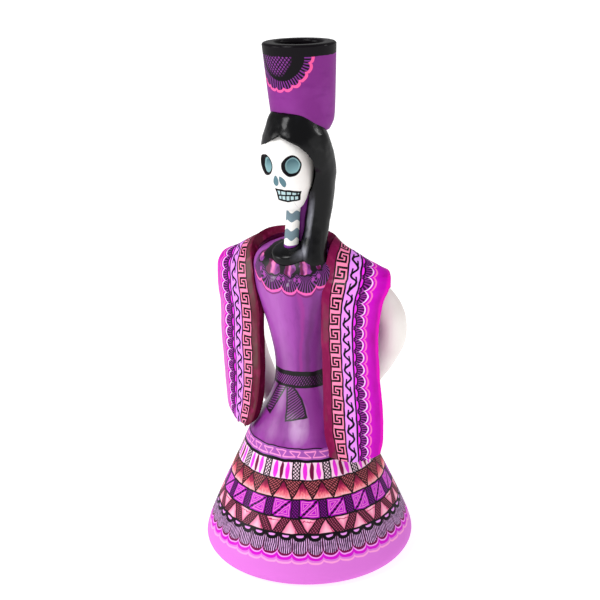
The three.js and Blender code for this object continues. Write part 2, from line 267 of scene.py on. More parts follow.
# %% Neck ring, bone and post
RING_RADIUS, RING_TILT = 10.0, radians(20)
ring_foot = Vector((0, -13.5, 171.3)) * MM
ring_profile = smooth([
    (0, -4, 0.88), (1, -0.6, 1), (2, 1.2, 1), (3, 2.9, 0.94), (4, 3.9, 0.8), (5, 4.5, 0.58), (6, 4.8, 0.3),
])
ring_rows = []
for place in steps(0, 6, 30):
    rise, share = ring_profile(place)
    ring_rows.append((rise, 0, 0, RING_RADIUS * share, RING_RADIUS * share * 0.94))
neck_ring = turned("neck_ring", ring_rows, 72)
neck_ring.data.transform(Matrix.Translation(ring_foot) @ Matrix.Rotation(RING_TILT, 4, "X"))

neck_bone = tube("neck_bone", [
    (0, -13.5, 167, 4.15), (0.4, -13, 177.5, 3.8), (1.5, -12.4, 193, 3.6), (1.7, -12, 205.5, 4),
], 8, 36)
neck_post = tube("neck_post", [
    (1.1, -3.2, 160, 7.5), (1.3, -3.5, 176, 5.8), (2, -3.3, 197, 5.8), (1.8, -2.9, 227.5, 5.8),
], 8, 30)

# %% [markdown]
# ## Skull
# The skull is a round cranium over a narrow jaw. The eye sockets were pressed in with a
# round tool. Here two balls are cut out of the turned form. A fine remesh and a little
# smoothing then round the cut edges, as a wet finger would.

# %% Skull
SKULL, HEAD_TURN = Vector((-1.4, -12.2, 219)), 12
SKULL_HALF = 13.7
EYE_HEIGHT, EYE_BEARINGS = 219.5, (-24, 39.5)
SOCKET_RADIUS, SOCKET_DEPTH = 4.9, 2.2
skull_form = smooth([
    (195, 0.16, 0.22, 3, -1.9), (196.3, 0.36, 0.44, 3, -1.8), (200, 0.54, 0.62, 2.8, -1.4),
    (202.5, 0.61, 0.7, 2.7, -1.2), (205, 0.7, 0.78, 2.2, -1), (207.5, 0.82, 0.88, 1.5, -0.6),
    (210.5, 0.88, 0.94, 1.2, -0.2), (213.5, 0.92, 0.98, 0.8, 0), (217.5, 0.98, 1.01, 0.3, 0),
    (222, 1, 1.02, 0, 0), (226, 0.98, 1, 0, 0), (231, 0.86, 0.88, 0, 0.4), (235, 0.66, 0.68, 0, 0.8),
    (238, 0.4, 0.42, 0, 1),
])


def skull_ring(height):
    """The ring at a height, with its centre in the turned frame of the head."""
    across, deep, side, back = skull_form(height)
    centre = Matrix.Rotation(radians(-HEAD_TURN), 2) @ Vector((SKULL.x + side, SKULL.y + back))
    return height, centre.x, centre.y, SKULL_HALF * across, SKULL_HALF * deep


def cut(piece, tool):
    """Takes the tool's form out of the piece, and the tool out of the scene."""
    modify(piece, "BOOLEAN", operation="DIFFERENCE", solver="EXACT", object=tool)
    select_only(tool)
    bpy.ops.object.delete()


def soften(piece, voxel, rounds):
    """Remeshes to even small faces, and smooths the edges between forms."""
    modify(piece, "REMESH", mode="VOXEL", voxel_size=voxel * MM, adaptivity=0.0)
    modify(piece, "SMOOTH", factor=0.5, iterations=rounds)


skull = turned("skull", [skull_ring(z) for z in steps(195, 238, 60)], 96, HEAD_TURN)
eye_places = []
across, deep, aside, back = skull_form(EYE_HEIGHT)
ball_radius = (SOCKET_RADIUS**2 + SOCKET_DEPTH**2) / (2 * SOCKET_DEPTH)
for bearing in EYE_BEARINGS:
    toward = radians(bearing)
    outward = Vector((sin(toward), -cos(toward), 0))
    rim = Vector((SKULL.x + aside, SKULL.y + back, EYE_HEIGHT)) + outward * SKULL_HALF * across
    eye_places.append(rim)
    bpy.ops.mesh.primitive_uv_sphere_add(
        segments=64, ring_count=32, radius=ball_radius * MM,
        location=(rim + outward * (ball_radius - SOCKET_DEPTH)) * MM,
    )
    cut(skull, bpy.context.object)
soften(skull, 0.36, 5)

# %% [markdown]
# ## Hair
# The hair is a cap over the cranium that runs down into one long lock on her left
# shoulder. It is turned as one form, and the opening for the face is cut out of its front
# with a plate in the outline of the hair line, from a parting in the middle of the brow.

# %% Hair
HAIR_TURN = 30
hair_form = smooth([
    (163, 6, -16, 3.6, 3.6), (164.5, 5.9, -15.5, 6.2, 5.7), (168, 5.1, -14.7, 7.4, 7.3),
    (173, 4.6, -13.4, 7.3, 7.7), (180.5, 5.9, -11.4, 6.6, 7.6), (192, 8.1, -8.8, 6.6, 8.2),
    (201, 9.3, -7.2, 7.1, 9.8), (207, 7.4, -5.6, 9.4, 11.8), (213, 3.4, -5.6, 14.2, 13.9),
    (219.5, -0.9, -7.4, 18, 16.7), (225.5, -2.4, -8.4, 18.2, 17.4), (232.5, -2.8, -8.6, 16.5, 16.2),
    (238, -3.3, -8.2, 14.1, 13.9), (241.5, -3.4, -7.6, 12.9, 12.6), (243.6, -3.1, -7.2, 12, 11.7),
    (245, -3, -6.8, 10.4, 9.8), (246, -2, -5, 6, 6),
])
hair = turned("hair", [(z, *hair_form(z)) for z in steps(163, 246, 96)], 96, HAIR_TURN)

hair_line = [
    (-24, -36), (-24, -1.5), (-15, -1), (-14, 1.5), (-12.5, 5.2), (-9.5, 9), (-5.3, 12.2),
    (0, 15.2), (5.5, 13), (10.5, 10.5), (14, 7), (16, 3), (16.5, -1), (16, -5.2), (14.5, -10),
    (12, -15), (9.6, -19), (7.4, -26), (7.2, -36),
]
FACE_BEHIND, FACE_REACH = 4.5, 40
bpy.ops.mesh.primitive_circle_add(vertices=len(hair_line), radius=MM, fill_type="NGON")
plate = bpy.context.object
for vertex, (x, z) in zip(plate.data.vertices, hair_line):
    vertex.co = Vector((x, FACE_BEHIND, z)) * MM
bpy.ops.object.mode_set(mode="EDIT")
bpy.ops.mesh.extrude_region_move(TRANSFORM_OT_translate={"value": (0, -FACE_REACH * MM, 0)})
face_outwards()
plate.data.transform(Matrix.Translation(SKULL * MM) @ Matrix.Rotation(radians(HEAD_TURN), 4, "Z"))
cut(hair, plate)
soften(hair, 0.5, 5)
knead(hair, 1.0, 11)

# %% [markdown]
# ## Hat
# The tall hat is the candle socket: a thick tube with a rounded rim and a flat floor
# 28 mm down. One row of rings goes up the outside, over the rim and down the bore.

# %% Hat
HAT_FOOT, RIM = 234.5, 278.0
RIM_RADIUS, BORE_RADIUS, BORE_DEPTH = 18.7, 12.0, 28.0
EDGE = 1.4  # the radius of the rounded rim
hat_wall = smooth([
    (0, 0.71), (0.05, 0.78), (0.12, 0.846), (0.3, 0.893), (0.6, 0.942), (0.92, 0.99), (1, 1),
])


def hat_ring(height, radius):
    share = (height - HAT_FOOT) / (RIM - HAT_FOOT)
    return height, 2.2 - 1.3 * share, -1.1 - 0.7 * share, radius, radius


def rounded(start, stop, middle):
    """Rings over a quarter of the rounded rim, whose middle lies at a radius."""
    return [
        hat_ring(RIM - EDGE + EDGE * sin(quarter), middle + EDGE * cos(quarter))
        for quarter in steps(radians(start), radians(stop), 6)
    ]


hat_rows = []
for z in steps(HAT_FOOT, RIM - EDGE, 40):
    hat_rows.append(hat_ring(z, RIM_RADIUS * hat_wall((z - HAT_FOOT) / (RIM - HAT_FOOT))[0]))
hat_rows += rounded(10, 90, RIM_RADIUS - EDGE) + rounded(90, 180, BORE_RADIUS + EDGE)
BORE_AT, BORE_CORNER = (0.9, -1.8), 0.6
BORE_FLOOR = RIM - BORE_DEPTH
for z in steps(275, BORE_FLOOR + BORE_CORNER, 12):
    hat_rows.append((z, *BORE_AT, BORE_RADIUS, BORE_RADIUS))
hat_rows.append((BORE_FLOOR, *BORE_AT, BORE_RADIUS - BORE_CORNER, BORE_RADIUS - BORE_CORNER))
hat = turned("hat", hat_rows, 96)

# %% [markdown]
# ## Arms
# Both arms are rolled coils of white clay, bent at the elbow, with the hands pressed into
# the hips. A tube with a radius at each point gives the same soft bend.

# %% Arms
left_arm = tube("left_arm", [
    (19, -2.5, 158, 7.1), (30.5, 0.5, 154, 7.7), (41.5, 5, 147.5, 7.9), (47.5, 7.5, 135.5, 7.9),
    (45.5, 7.5, 122.5, 7.9), (36.4, 6.5, 107.6, 7.7), (27, 4, 94, 6.5), (18, 2, 83, 4.7),
], 10, 90)
right_arm = tube("right_arm", [
    (-17, -2.5, 157.5, 7.1), (-28.5, 0.5, 153, 7.7), (-38, 4.5, 143, 7.7), (-41.5, 8, 128, 7.7),
    (-40.5, 8.5, 113, 7.7), (-34.5, 6, 99.5, 7.6), (-25.5, 3, 87, 6.5), (-18, 0.5, 78.5, 4.7),
], 10, 90)
for arm in (left_arm, right_arm):
    knead(arm, 0.7, 10)

# %% [markdown]
# ## Stole
# A slab of clay was laid over both shoulders and across the back. A flat grid is laid along
# two edge curves, so its own UV map runs across the width and along the length, and the
# painted borders can follow the slab round the shoulder. Solidify gives it its thickness.

# %% Stole
STOLE_THICK, STOLE_CROWN, STOLE_SAG = 5.0, 2.6, 3.6
ROUNDED_END = 0.8  # the part of the last row's step in which the end sags
ALONG, ACROSS = 260, 30
right_half = [
    (-26, -20, 73.2, -31, -18, 73.4),
    (-22, -21.5, 75.2, -37.5, -12.8, 75.4),
    (-18.6, -22, 80.5, -41.3, -11, 80),
    (-16.2, -21.5, 90, -42.9, -9.9, 89),
    (-15.6, -19.3, 105.5, -44.3, -9, 104),
    (-16.6, -17.5, 123.5, -45.6, -8.5, 121),
    (-17, -16.5, 139.5, -46, -7.5, 137.5),
    (-20.5, -14.5, 153, -48.1, -6.3, 149),
    (-24, -10.5, 165.6, -48.7, -3.5, 160),
    (-26.5, -3, 172.5, -46.5, 4, 162.5),
    (-23, 6, 176, -36.5, 11.5, 160),
    (-14.5, 10.5, 177.5, -23.5, 15, 152.5),
    (-5, 11.5, 178, -10, 16.5, 147),
]
left_half = [
    (6, 11.5, 177, 9, 16.5, 147),
    (12.5, 8.5, 175.3, 25.5, 15, 152),
    (16, 1.5, 175.4, 37, 11, 159.5),
    (18, -6, 171.3, 46.8, 3.5, 161.6),
    (19.6, -12.5, 160.5, 52.2, -3, 159),
    (20, -14.6, 154.5, 50.4, -5.6, 153),
    (20.3, -16, 148.5, 48.6, -7, 147),
    (20.6, -17, 132, 47.2, -8, 132),
    (22, -18.5, 111, 48.5, -9, 110.5),
    (23, -21, 94, 50.4, -9.5, 93.5),
    (25.3, -25, 79.5, 50.8, -10.5, 78.5),
    (29.5, -28.5, 69.1, 49.6, -12, 69.2),
]
stole_rows = right_half + left_half
edges = smooth([(i, *row) for i, row in enumerate(stole_rows)])
LAST_ROW = len(stole_rows) - 1


def stole_point(share, place):
    """The middle of the slab at a share of its width. Its end on her left hangs in a curve."""
    here, behind, before = (edges(min(max(place + d, 0), LAST_ROW)) for d in (0, -0.02, 0.02))
    inner, outer_edge = Vector(here[:3]), Vector(here[3:])
    along = (Vector(before[:3]) - Vector(behind[:3])).normalized()
    along += (Vector(before[3:]) - Vector(behind[3:])).normalized()
    width = outer_edge - inner
    out = along.cross(width).normalized()
    bow = 1 - (2 * share - 1) ** 2
    ending = max(0, place - LAST_ROW + ROUNDED_END) / ROUNDED_END
    middle = inner + width * share + out * STOLE_CROWN * max(0.2, 1 - 1.6 * abs(out.z)) * bow
    return middle - Vector((0, 0, STOLE_SAG * ending**2 * bow))


lengths = [0.0]
for i in range(ALONG):
    gap = stole_point(0.5, (i + 1) * LAST_ROW / ALONG) - stole_point(0.5, i * LAST_ROW / ALONG)
    lengths.append(lengths[-1] + gap.length)
bpy.ops.mesh.primitive_grid_add(x_subdivisions=ACROSS, y_subdivisions=ALONG, size=1, calc_uvs=True)
stole = bpy.context.object
stole.name = stole.data.name = "stole"
uv = stole.data.uv_layers.active.data
for loop in stole.data.loops:
    flat = stole.data.vertices[loop.vertex_index].co
    uv[loop.index].uv = (flat.x + 0.5, lengths[round((flat.y + 0.5) * ALONG)])
for vertex in stole.data.vertices:
    vertex.co = stole_point(vertex.co.x + 0.5, (vertex.co.y + 0.5) * LAST_ROW) * MM
body_middle = Vector((0, 0, 0.13))
if sum(face.normal.dot(face.center - body_middle) for face in stole.data.polygons) < 0:
    stole.data.flip_normals()
for slot in range(2):  # the painted side and the underside
    stole.data.materials.append(None)
modify(stole, "SOLIDIFY", thickness=STOLE_THICK * MM, offset=0, material_offset=1)
modify(stole, "BEVEL", width=1.9 * MM, segments=4, limit_method="ANGLE", angle_limit=radians(60))
knead(stole, 0.8, 9)
print("stole", round(lengths[-1], 1), "mm along its middle")

# %% [markdown]
# ## How the paint is described
# Every border on the figure is painted with a fine brush, so it is colour and not relief.
# Each is worked out from the place on the piece in millimetres: a small class lets us write
# shader maths like ordinary Python, and one method makes every other node.

# %% Paint box
SOFT = 0.22  # how soft the edge of a brush line is, in mm
TREMBLE = 0.0013  # how far the painter's hand strays, in metres over the noise's full range
CLAY_GRAIN = 0.00025  # the height of lumps and brush marks in the gloss, in metres
TURN = 180 / pi  # degrees in one radian


def set_sockets(node, values):
    """Sets a node's inputs by name or number, each to a value or to a link."""
    for key, value in values.items():
        if isinstance(value, Socket):
            value.paint.tree.links.new(value.link, node.inputs[key])
        else:
            node.inputs[key].default_value = value


def worked_out(operation):
    """One of Python's operators, worked out by the shader."""
    def apply(self, other):
        return self.math(operation, other)
    return apply


class Socket:
    """A number or a colour that varies over the surface."""

    def __init__(self, paint, link):
        self.paint, self.link = paint, link

    def math(self, operation, *others, clamp=False):
        settings = {"operation": operation, "use_clamp": clamp}
        return self.paint.node("ShaderNodeMath", settings, [self, *others])

    __add__ = __radd__ = worked_out("ADD")
    __mul__ = __rmul__ = worked_out("MULTIPLY")
    __sub__, __truediv__ = worked_out("SUBTRACT"), worked_out("DIVIDE")
    __and__, __or__ = worked_out("MINIMUM"), worked_out("MAXIMUM")

    def __rsub__(self, other):
        return self.paint.node("ShaderNodeMath", {"operation": "SUBTRACT"}, [other, self])

    def __neg__(self):
        return self.math("MULTIPLY", -1)

    def __abs__(self):
        return self.math("ABSOLUTE")

    def held(self):
        """Held between 0 and 1."""
        return self.math("ADD", 0, clamp=True)

    def squared(self):
        return self * self

    def rays(self, pitch, share, soft):
        """Strokes that take up a share of each pitch of a bearing."""
        return (share - abs((self / pitch).beat(0, 1))).mask(soft)

    def bearing(self, ahead):
        """Degrees to the side, for a place this far aside and that far ahead."""
        return self.math("ARCTAN2", ahead) * TURN

    def root(self):
        return self.math("MAXIMUM", 0).math("SQRT")

    def arch(self):
        """The height of a half round over one beat."""
        return (1 - self.squared() * 4).root()

    def mask(self, soft=SOFT):
        """1 where this distance is positive, 0 where it is negative."""
        return self.math("MULTIPLY_ADD", 1 / soft, 0.5, clamp=True)

    def line(self, half, soft=SOFT):
        """A brush line of a half width where this distance is zero."""
        return (half - abs(self)).mask(soft)

    def between(self, low, high):
        """The distance inside a range, positive within it."""
        return (high - low) / 2 - abs(self - (low + high) / 2)

    def beat(self, start, step):
        """Repeats every step: -0.5 to 0.5 about start."""
        return ((self - start) / step + 0.5).math("FRACT") - 0.5

    def count(self, start, step):
        """Which repeat this is, as a whole number."""
        return ((self - start) / step + 0.5).math("FLOOR")


def shown(colour):
    """A colour of three numbers from 0 to 255, as the shader wants it."""
    if isinstance(colour, Socket):
        return colour
    shares = (value / 255 for value in colour)
    return (*(v / 12.92 if v <= 0.04045 else ((v + 0.055) / 1.055) ** 2.4 for v in shares), 1.0)


def far(*parts):
    """How far away a point is, from its distances along the axes."""
    return reduce(add, [part.squared() for part in parts]).root()


def oval(across, up, half_width, half_height):
    """1 in the middle of an oval and 0 on its outline, from distances to its middle."""
    return 1 - (across / half_width).squared() - (up / half_height).squared()


class Paint:
    """One painted and varnished finish. Haze is how blurred the varnish shines."""

    def __init__(self, name, base, roughness=0.4, varnish=0.2, haze=0.2):
        self.material = bpy.data.materials.new(name)
        self.material.use_nodes = True
        self.tree = self.material.node_tree
        self.surface = next(n for n in self.tree.nodes if n.type == "BSDF_PRINCIPLED")
        set_sockets(self.surface, {
            "Roughness": roughness, "Coat Weight": varnish, "Coat Roughness": haze,
            "Specular IOR Level": 0.0,
        })
        self.coordinates = self.tree.nodes.new("ShaderNodeTexCoord")
        exact = Socket(self, self.coordinates.outputs["Object"])
        waver = {"Vector": exact, "Scale": 170.0, "Detail": 1.0}
        tremble = self.node("ShaderNodeTexNoise", {}, waver, 1)
        strayed = [tremble, (TREMBLE, TREMBLE, TREMBLE), exact]
        self.place = self.node("ShaderNodeVectorMath", {"operation": "MULTIPLY_ADD"}, strayed)
        self.x, self.y, self.z = (
            self.node("ShaderNodeSeparateXYZ", {}, [self.place], i) * 1000 - TREMBLE * 500
            for i in range(3)
        )
        self.colour = base

    def node(self, kind, settings, values, output=0):
        """Any node: its settings first, then the values or links of its sockets."""
        made = self.tree.nodes.new(kind)
        for key, value in settings.items():
            if key == "stops":
                for i, (position, colour) in enumerate(value):
                    stop = made.color_ramp.elements[i] if i < 2 else made.color_ramp.elements.new(position)
                    stop.position, stop.color = position, shown(colour)
            else:
                setattr(made, key, value)
        set_sockets(made, values if isinstance(values, dict) else dict(enumerate(values)))
        return Socket(self, made.outputs[output])

    def mix(self, share, under, over):
        values = {0: share, 6: shown(under), 7: shown(over)}
        return self.node("ShaderNodeMix", {"data_type": "RGBA"}, values, 2)

    def coat(self, mask, colour):
        """Paints a colour over what is there."""
        self.colour = self.mix(mask, self.colour, colour)

    def draw(self, mask):
        """Draws in black."""
        self.coat(mask, BLACK)

    def fill(self, distance, colour):
        """Paints a colour wherever a distance is positive."""
        self.coat(distance.mask(), colour)

    def ramp(self, share, stops):
        return self.node("ShaderNodeValToRGB", {"stops": stops}, [share])

    def noise(self, scale, detail=2.0, stretch=(1, 1, 1)):
        """Soft noise from 0 to 1; scale is in repeats per metre."""
        place = self.node("ShaderNodeVectorMath", {"operation": "MULTIPLY"}, [self.place, stretch])
        return self.node("ShaderNodeTexNoise", {}, {"Vector": place, "Scale": scale, "Detail": detail})

    def around(self, x=0.0, y=0.0):
        """Degrees about an upright axis: 0 in front, growing towards her left."""
        return (self.x - x).bearing(-(self.y - y))

    def patches(self, scale, detail, level, edge, stretch=(1, 1, 1)):
        """Patches of 1 where the noise is above a level, with an edge as sharp as asked."""
        return ((self.noise(scale, detail, stretch) - level) * edge).held()

    def inside(self, across, height, corners):
        """Distance inside a convex patch whose corners run anticlockwise."""
        sides = []
        for (x1, z1), (x2, z2) in zip(corners, corners[1:] + corners[:1]):
            length = hypot(x2 - x1, z2 - z1)
            a, b = -(z2 - z1) / length, (x2 - x1) / length
            sides.append(across * a + (height * b - (a * x1 + b * z1)))
        return reduce(and_, sides)

    def stripes(self, across, pitch, share, soft=SOFT):
        """Parallel brush lines: a share of each pitch is painted."""
        return (share * pitch / 2 - abs(across.beat(0, pitch)) * pitch).mask(soft)

    def net(self, across, up, pitches, shares, lean=(1, 1)):
        """Two sets of slanting strokes that cross."""
        one = self.stripes(across + up * lean[0], pitches[0], shares[0])
        return one, self.stripes(across - up * lean[1], pitches[1], shares[1])

    def dry(self, bump=0.25):
        """Ends the finish: links the colour, and lets clay and brush marks show in the gloss."""
        relief = self.noise(90, 3.0) * 3 + self.noise(700, 2.0, (1, 1, 0.25))
        raised = {"Strength": bump, "Distance": CLAY_GRAIN, "Height": relief}
        normal = self.node("ShaderNodeBump", {}, raised)
        set_sockets(self.surface, {"Normal": normal, "Base Color": shown(self.colour)})
        return self.material


BLACK = (15, 11, 16)
PURPLE, DEEP_PURPLE, PALE_PURPLE = (142, 52, 148), (108, 30, 116), (168, 84, 178)
MAGENTA, MAROON, ORCHID = (214, 8, 196), (108, 12, 62), (216, 114, 212)


def purple_ground(paint):
    """The purple of dress, hat and post, brushed on in uneven strokes."""
    paint.coat(paint.patches(45, 3.0, 0.48, 5, (1, 1, 0.35)), PALE_PURPLE)
    paint.coat(paint.patches(60, 3.0, 0.51, 5, (1.3, 1.3, 0.3)) * 0.7, DEEP_PURPLE)
    paint.coat(paint.patches(420, 2.0, 0.55, 6, (1, 1, 0.3)) * 0.22, DEEP_PURPLE)


print("paint box ready")

# %% [markdown]
# ## Skirt paint
# Five borders run round the skirt between black lines, over a scalloped lace edge. Each
# border repeats a motif a whole number of times. The angle round the skirt tells which
# motif we are in, and the height tells how far up it we are.

# %% Skirt borders
LACE_HEAD, RIBBON_HEAD, SQUARE_HEAD, TRIANGLE_HEAD, PETAL_HEAD = 29.3, 37.0, 45.7, 54.9, 63.8
paint = Paint("skirt_paint", PURPLE, haze=0.3)
purple_ground(paint)
angle = paint.around()
height = paint.z


def arc(radius):
    """Millimetres round the skirt at a radius."""
    return angle * (radius / TURN)


def border(low, high, colour):
    """Fills a border with its ground, and gives back its mask."""
    within = paint.z.between(low, high).mask()
    paint.coat(within, colour)
    return within


def tall(low, high):
    """The height in a border, 0 at its foot and 1 at its head."""
    return (height - low) / (high - low)


def slanted(x_top, x_foot, top, foot, half):
    """The corners of a stroke from its foot to its top, anticlockwise."""
    return [(x_foot - half, foot), (x_foot + half, foot), (x_top + half, top), (x_top - half, top)]


def zigzag_border():
    border(64.5, 70, (162, 84, 174))
    step, top, foot, half = 360 / 26, 68.7, 66.0, 0.33
    length = 32.2 * radians(step)
    unit = (angle + 0.9) / step
    along = unit.math("FRACT") * length
    parts = []
    for shift in (-length, 0.0, length):
        run = along - shift
        parts += [
            half - abs(height - top) & run.between(0, 0.75 * length),
            half - abs(height - foot) & run.between(0.55 * length, 1.42 * length),
            paint.inside(run, height, slanted(0.75 * length, 0.55 * length, top, foot, half)),
            paint.inside(run, height, slanted(length, 1.42 * length, top, foot, half)),
        ]
    paint.fill(reduce(or_, parts), (244, 146, 208))


def petal_border():
    within = border(TRIANGLE_HEAD, PETAL_HEAD, (250, 206, 230))
    step = 360 / 14
    length = 36.0 * radians(step)
    across = angle.beat(-5.6 + step / 2, step) * length
    up = tall(55.2, 63.6)
    bow = (1 - (2 * up - 1).squared()).root()
    paint.coat((1.1 * bow - abs(across)).mask() & within, MAROON)
    shade = paint.mix(paint.noise(60), MAGENTA, (252, 74, 236))
    paint.coat((1.2 * bow - abs(abs(across) - 3.45)).mask() & within, shade)
    block = abs(across) - (length / 2 - 2.15)
    paint.draw(block.mask() & within)
    one, other = paint.net(arc(36), height, (1.75, 1.75), (0.62, 0.62))
    paint.coat(block.mask() * (one & other) & within, (240, 208, 226))
    paint.draw((block - 0.3).line(0.36) & within)


def triangle_border():
    within = border(SQUARE_HEAD, TRIANGLE_HEAD, (190, 92, 102))
    step = 15.0
    length = 40.5 * radians(step)
    beat = angle.beat(25.3, step)
    up = tall(46.0, 54.6)
    inside = (0.5 * (1 - up) - abs(beat)) * (length * 0.88)
    odd = angle.count(25.3 + step / 2, 2 * step)
    odd = abs((angle.count(25.3 + step / 2, step) - odd * 2).beat(0, 2)) * 4 - 1
    hatching = paint.stripes(arc(40.5) * 0.75 * odd + height, 1.35, 0.6)
    crossing = paint.stripes(arc(40.5) * 0.8 * odd - height * 1.2, 2.3, 0.3)
    paint.coat((hatching | crossing) * within & (0.2 - inside).mask(), (62, 26, 34))
    bristle = (paint.noise(1500, 1.0, (1, 1, 0.15)) - 0.5) * 0.5
    blend = paint.ramp(up + bristle, [
        (0.0, (248, 178, 186)), (0.95, (84, 10, 44)), (0.22, (238, 118, 132)),
        (0.42, (192, 54, 92)), (0.62, (132, 20, 64)),
    ])
    paint.coat(inside.mask() * within, blend)
    paint.draw(inside.line(0.34) * within)


def square_border():
    within = border(RIBBON_HEAD, SQUARE_HEAD, (180, 8, 192))
    step = 360 / 19
    length = 44.8 * radians(step)
    across = (angle - 1.7).beat(step / 2, step) * length
    rise = height - 41.35
    half = length / 2 - 2.1
    slope = (rise * 1.11 * half - across * 4.8) / hypot(half, 4.8)
    corner = abs(slope) & (half - abs(across)) & (4.8 - abs(rise) * 1.11)
    rings = (corner - 1.15).line(0.21) | (corner - 2.1).line(0.17)
    paint.coat(rings * within, (232, 118, 200))
    wobble = abs(across.beat(0, 1.7)) * 0.9
    paint.draw((slope + wobble - 0.2).line(0.45) * (half - abs(across)).mask() * within)
    post = abs(across) - half
    paint.coat(post.mask() * within, (124, 16, 134))
    one, other = paint.net(arc(44.8), height, (1.5, 1.5), (0.5, 0.4))
    paint.coat(post.mask() * (one | other) * within, (46, 6, 58))
    paint.draw(post.line(0.33) * within)


def ribbon_border():
    within = border(LACE_HEAD, RIBBON_HEAD, (228, 104, 150))
    step = 22.5
    length = 48.4 * radians(step)
    beat = angle.beat(17.8, step)
    on_her_left, beat = beat.mask(0.05), abs(beat)
    up = tall(29.7, 36.6)
    upright = (0.245 * (1 - up) - beat) * (length * 0.86)
    hanging = (beat - 0.5 + 0.245 * up) * (length * 0.86)
    patch = upright | hanging
    paint.coat((patch - 1.5).mask(2.6) * within * 0.85, (252, 190, 212))
    waver = (paint.noise(900, 0.0) - 0.5) * 1.2
    lower = (height - 35.4 + waver).line(0.22) * (hanging - 0.5).mask()
    upper = (beat * length - (1 - up) * 3.1 + waver - 0.35).line(0.24) * (upright - 0.3).mask()
    paint.coat((lower | upper * on_her_left) * within, (186, 36, 96))
    ribbon = (0.1 - patch).mask() * within
    paint.coat(ribbon, (160, 66, 98))
    one, other = paint.net(arc(48.4), height, (1.5, 1.6), (0.45, 0.4), (0.7, 1.3))
    paint.coat(ribbon * (one | other), (52, 16, 32))
    paint.draw(patch.line(0.33) * within)


def lace_border():
    below = (LACE_HEAD - height).mask()
    paint.coat(below, ORCHID)
    beat = angle.beat(-2.0, 360 / 41)
    arch = beat.arch()
    edge = height - (22.6 - 3.1 * arch)
    bloom = (height - (17.2 - 1.6 * arch)).line(0.42, 0.5)
    paint.coat(bloom, (246, 158, 214))
    paint.coat((height - (19.9 - 2.1 * arch)).line(0.95, 0.3), (208, 12, 200))
    paint.coat((edge + 0.95).line(0.32), (240, 150, 236))
    lace = edge.mask() * below
    paint.coat(lace, (40, 12, 46))
    threads = (beat * (7 + (27 - height) * 0.06)).rays(1, 0.21, 0.12)
    worn = paint.patches(420, 2.0, 0.36, 6) * 0.5 + 0.5
    paint.coat(lace * threads * worn, (224, 172, 226))
    paint.coat(lace * (abs(beat) - 0.455).mask(0.05), (64, 8, 48))
    paint.coat(edge.line(0.55), (112, 8, 70))
    dark = oval(beat, 28.9 - height, 0.513, 2.9)
    moon = oval(beat, 28.6 - height, 0.25, 1.0)
    paint.draw((dark * 1.2).mask() * lace)
    paint.coat((moon * 1.2).mask() * (28.8 - height).mask(), (228, 146, 228))


for band in (lace_border, ribbon_border, square_border, triangle_border, petal_border, zigzag_border):
    band()
for place, half in (
    (LACE_HEAD, 0.5), (RIBBON_HEAD, 0.42), (SQUARE_HEAD, 0.42), (TRIANGLE_HEAD, 0.35), (64.2, 0.75),
):
    paint.draw((height - place).line(half))
beside_stole = (abs(angle - 62) - 18).mask(3)  # the top line was left out under the stole's end
paint.draw((height - 70.1).line(0.32) * beside_stole)
print("skirt borders painted with", len(paint.tree.nodes), "nodes")

# %% [markdown]
# ## Belt, tails and collar
# The belt is a dark hatched band. Two short tails hang from it on the skirt. The lace
# collar is painted in fans: black lines that spread from a centre, over a pink scalloped
# edge with a maroon shadow line. Pale milky patches on the top of the skirt and on the
# collar are painted highlights, the sheen of the varnish.

# %% Tails of the belt
def belt_tail(corners, tilt):
    """One tail: a patch on the front of the skirt, with strokes across it."""
    patch = paint.inside(paint.x, paint.z, corners) & 5 - paint.y
    along = paint.x * sin(tilt) + paint.z * cos(tilt)
    paint.fill(patch, (140, 62, 146))
    paint.coat(patch.mask() * paint.stripes(along, 1.2, 0.6), (34, 10, 38))
    paint.draw(patch.line(0.46))


# painted highlight: a pale streaked patch on the front of the skirt's top, the sheen of the varnish
painted_sheen = oval(angle - 20, height - 82, 13, 12) | 0.0
paint.coat(painted_sheen * (paint.noise(240, 2.0, (1, 1, 0.25)) & 0.6), (222, 190, 226))
belt_tail([(-15.1, 84.9), (-10.2, 83.6), (-2.2, 99.4), (-7.2, 99.4)], -0.15)
belt_tail([(1.4, 82.4), (11.4, 84.6), (7.8, 92.5), (1.6, 99.6), (-2.0, 99.6)], -0.75)
set_sockets(paint.surface, {"Coat Weight": (height - 73).mask(5) * 0.8 + 0.2})

clay = Paint("bare_clay", (150, 92, 68), roughness=0.8, varnish=0.0)
clay.coat(clay.noise(140, 4.0), (176, 116, 88))
for material in (paint.dry(), clay.dry(0.5)):
    skirt.data.materials.append(material)
for face in skirt.data.polygons:
    x, y, z = face.center / MM
    if z < HOLLOW_TOP + 1 and hypot(x, y - dress(z)[1]) < dress(z)[2] - SKIRT_WALL / 2:
        face.material_index = 1
finish_piece(skirt, "purple_paint")

# %% Bodice, belt and collar
paint = Paint("bodice_paint", (152, 62, 160), varnish=0.5, haze=0.34)
purple_ground(paint)
angle = paint.around(0.2, -6.0)
height = paint.z
grain = paint.noise(90, 2.0, (1, 1, 0.3)) - 0.5
# painted highlight: the bodice is painted paler towards her right front, where the light falls
paint.coat((1 - abs(angle + 14) / 34 | 0.0) * (0.5 + grain & 1.0) * 0.7, (196, 128, 202))
